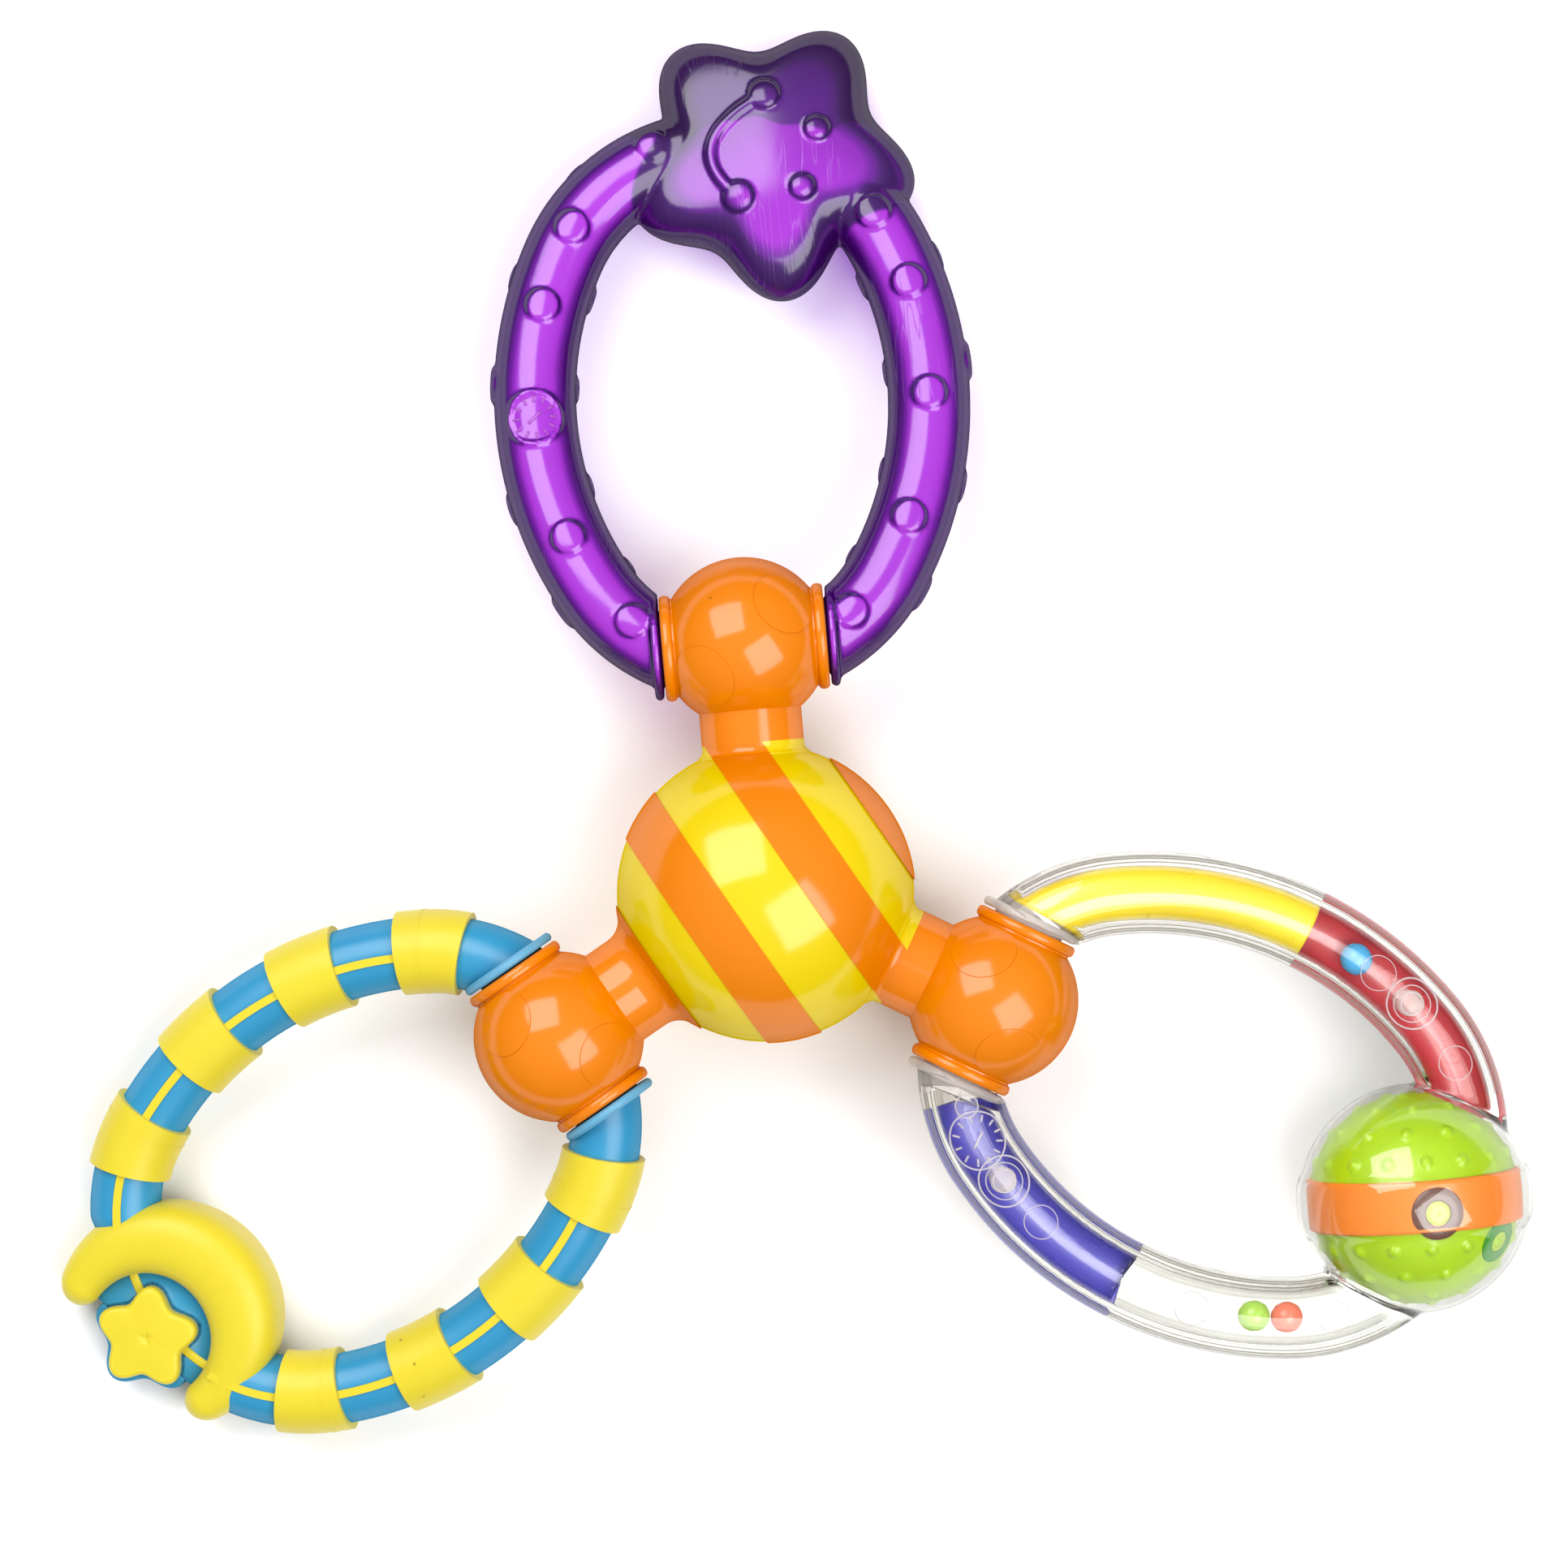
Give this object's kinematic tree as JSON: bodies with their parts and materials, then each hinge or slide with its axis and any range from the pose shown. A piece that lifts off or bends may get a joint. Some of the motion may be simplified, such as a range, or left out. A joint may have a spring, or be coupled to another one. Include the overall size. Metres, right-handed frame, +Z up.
{
  "type": "baby rattle",
  "caption": "Hand rattle and teether: a striped ball with arms that end in sockets, each holding a hinged oval loop with a star, a moon or a domed planet.",
  "frame": {"origin": "on the surface the rattle lies on, under the striped ball's centre", "axes": "+Y along the teether's arm, +Z up out of the surface, square to the flat rattle"},
  "size_m": [0.1833, 0.1701, 0.0366],
  "materials": {
    "orange_shell": "glossy moulded, faintly marked",
    "yellow_stripe": "glossy moulded",
    "purple_teether": "glossy see-through soft plastic",
    "purple_water": "tinted water",
    "blue_tube": "semi-gloss moulded",
    "soft_yellow": "satin soft overmould",
    "clear_plastic": "clear glossy plastic",
    "yellow_lining": "smooth moulded",
    "red_lining": "thin translucent film",
    "violet_lining": "thin translucent film",
    "green_planet": "glossy moulded with raised spots",
    "orange_band": "glossy moulded",
    "blue_bead": "glossy",
    "green_bead": "glossy",
    "coral_bead": "glossy"
  },
  "bodies": {
    "hub": {"hub_front_shell": "orange_shell", "hub_back_shell": "orange_shell", "upper_stripe_front": "yellow_stripe", "middle_stripe_front": "yellow_stripe", "lower_stripe_front": "yellow_stripe", "upper_stripe_back": "yellow_stripe", "middle_stripe_back": "yellow_stripe", "lower_stripe_back": "yellow_stripe"},
    "teether_loop": {"teether_shell": "purple_teether", "teether_water": "purple_water"},
    "moon_loop": {"moon_ring": "blue_tube", "moon": "soft_yellow", "star_button": "soft_yellow", "band_left_1": "soft_yellow", "band_left_2": "soft_yellow", "band_left_3": "soft_yellow", "band_left_4": "soft_yellow", "band_right_1": "soft_yellow", "band_right_2": "soft_yellow", "band_right_3": "soft_yellow", "band_right_4": "soft_yellow", "runner_left": "soft_yellow", "runner_right": "soft_yellow"},
    "clear_loop": {"clear_front_shell": "clear_plastic", "clear_back_shell": "clear_plastic", "yellow_tube": "yellow_lining", "red_liner": "red_lining", "violet_liner": "violet_lining", "planet_front": "green_planet", "planet_back": "green_planet", "planet_band": "orange_band"},
    "blue_bead": {"bead_blue": "blue_bead"},
    "green_bead": {"bead_green": "green_bead"},
    "coral_bead": {"bead_coral": "coral_bead"}
  },
  "joints": [
    {"name": "teether_hinge", "type": "hinge", "parent": "hub", "child": "teether_loop", "pos_m": [0, 0.031, 0.0183], "axis": [-1, 0, 0], "range_deg": [-100.4, 79.6]},
    {"name": "moon_hinge", "type": "hinge", "parent": "hub", "child": "moon_loop", "pos_m": [-0.02685, -0.0155, 0.0183], "axis": [0.5, -0.866, 0], "range_deg": [-101.87, 78.13]},
    {"name": "clear_hinge", "type": "hinge", "parent": "hub", "child": "clear_loop", "pos_m": [0.02685, -0.0155, 0.0183], "axis": [0.5, 0.866, 0], "range_deg": [-94.06, 85.94]},
    {"name": "blue_bead_roll", "type": "hinge", "parent": "clear_loop", "child": "blue_bead", "pos_m": [0.04321, -0.04854, 0.01612], "axis": [0.0613, -0.0354, 0.9975], "range_deg": [-5.7, 6.5]},
    {"name": "green_bead_roll", "type": "hinge", "parent": "clear_loop", "child": "green_bead", "pos_m": [0.06364, -0.01315, 0.01612], "axis": [0.0613, -0.0354, 0.9975], "range_deg": [-42.6, 0]},
    {"name": "coral_bead_roll", "type": "hinge", "parent": "clear_loop", "child": "coral_bead", "pos_m": [0.06364, -0.01315, 0.01612], "axis": [0.0613, -0.0354, 0.9975], "range_deg": [0, 8]}
  ]
}
